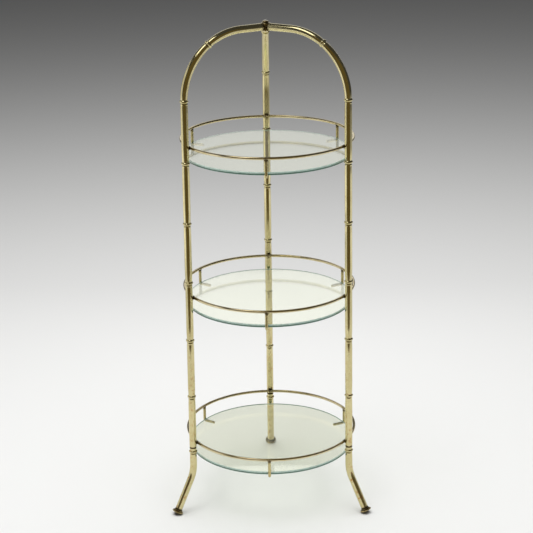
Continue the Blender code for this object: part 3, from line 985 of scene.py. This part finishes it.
class CAKESTAND_OT_legs(bpy.types.Operator):
    """Model the three bamboo-pattern legs"""
    bl_idname = "cakestand.legs"
    bl_label = "Legs"

    def execute(self, context):
        finish = context.scene.cakestand_finish
        material = brass_material("tube_brass_aged", finish.brass, finish,
                                  bloom=0.50, spots=0.9, polish=0.09)
        model_legs(context.scene.cakestand_metal, material)
        return {"FINISHED"}


class CAKESTAND_OT_feet(bpy.types.Operator):
    """Model the three turned foot caps"""
    bl_idname = "cakestand.feet"
    bl_label = "Feet"

    def execute(self, context):
        finish = context.scene.cakestand_finish
        material = brass_material("foot_brass_dark", finish.fitting, finish,
                                  bloom=0.7, spots=0.6, polish=0.24)
        for side in SIDES:
            model_foot(side, material)
        return {"FINISHED"}


class CAKESTAND_OT_crown(bpy.types.Operator):
    """Model the crown's boss and its domed screw"""
    bl_idname = "cakestand.crown"
    bl_label = "Crown"

    def execute(self, context):
        finish = context.scene.cakestand_finish
        model_crown(brass_material("crown_brass_dark", finish.fitting, finish,
                                   bloom=0.7, spots=0.3, polish=0.16, dust=0.0))
        return {"FINISHED"}


class CAKESTAND_OT_rails(bpy.types.Operator):
    """Model the three gallery rails"""
    bl_idname = "cakestand.rails"
    bl_label = "Rails"

    def execute(self, context):
        finish = context.scene.cakestand_finish
        material = brass_material("rail_brass_aged", finish.rail, finish,
                                  bloom=0.75, spots=0.5, polish=0.09, dust=0.06)
        for tier in TIERS:
            model_rail(tier, context.scene.cakestand_metal, material)
        return {"FINISHED"}


class CAKESTAND_OT_brackets(bpy.types.Operator):
    """Model the nine bent brackets"""
    bl_idname = "cakestand.brackets"
    bl_label = "Brackets"

    def execute(self, context):
        finish = context.scene.cakestand_finish
        material = brass_material("bracket_brass_aged", finish.bracket, finish,
                                  bloom=0.85, spots=0.5, polish=0.20)
        for tier in TIERS:
            for side in BRACKET_SIDES:
                model_bracket(tier, side, context.scene.cakestand_metal, material)
        return {"FINISHED"}


class CAKESTAND_OT_braze(bpy.types.Operator):
    """Flow the braze into the joints of legs, rails and brackets"""
    bl_idname = "cakestand.braze"
    bl_label = "Braze"

    def execute(self, context):
        material = braze_material(context.scene.cakestand_finish)
        for tier in TIERS:
            model_braze(tier, context.scene.cakestand_metal, material)
        return {"FINISHED"}


class CAKESTAND_OT_shelves(bpy.types.Operator):
    """Model the three round glass shelves"""
    bl_idname = "cakestand.shelves"
    bl_label = "Shelves"

    def execute(self, context):
        material = glass_material(context.scene.cakestand_finish)
        rim_material = glass_rim_material(context.scene.cakestand_finish)
        for tier in TIERS:
            model_shelf(tier, context.scene.cakestand_metal, material, rim_material)
        return {"FINISHED"}


class CAKESTAND_OT_stage(bpy.types.Operator):
    """Set up the floor, the lights and the camera"""
    bl_idname = "cakestand.stage"
    bl_label = "Stage"

    def execute(self, context):
        build_stage(context.scene.cakestand_stage)
        return {"FINISHED"}


OPERATORS = (
    CAKESTAND_OT_legs, CAKESTAND_OT_feet, CAKESTAND_OT_crown, CAKESTAND_OT_rails,
    CAKESTAND_OT_brackets, CAKESTAND_OT_braze, CAKESTAND_OT_shelves, CAKESTAND_OT_stage,
)


class CAKESTAND_PT_panel(bpy.types.Panel):
    """Lists the operators"""
    bl_idname = "CAKESTAND_PT_panel"
    bl_label = "Cake Stand"
    bl_space_type = "VIEW_3D"
    bl_region_type = "UI"
    bl_category = "Cake Stand"

    def draw(self, context):
        for operator in OPERATORS:
            self.layout.operator(operator.bl_idname)


GROUPS = {
    "cakestand_metal": CakeStandMetal,
    "cakestand_finish": CakeStandFinish,
    "cakestand_stage": CakeStandStage,
}
CLASSES = (*GROUPS.values(), *OPERATORS, CAKESTAND_PT_panel)


def register():
    for item in CLASSES:
        bpy.utils.register_class(item)
    for name, group in GROUPS.items():
        setattr(bpy.types.Scene, name, PointerProperty(type=group))


def unregister():
    for name in GROUPS:
        delattr(bpy.types.Scene, name)
    for item in reversed(CLASSES):
        bpy.utils.unregister_class(item)


def main():
    register()
    for operator in OPERATORS:
        family, name = operator.bl_idname.split(".")
        getattr(getattr(bpy.ops, family), name)()
    bpy.context.view_layer.update()


if __name__ == "__main__":
    main()
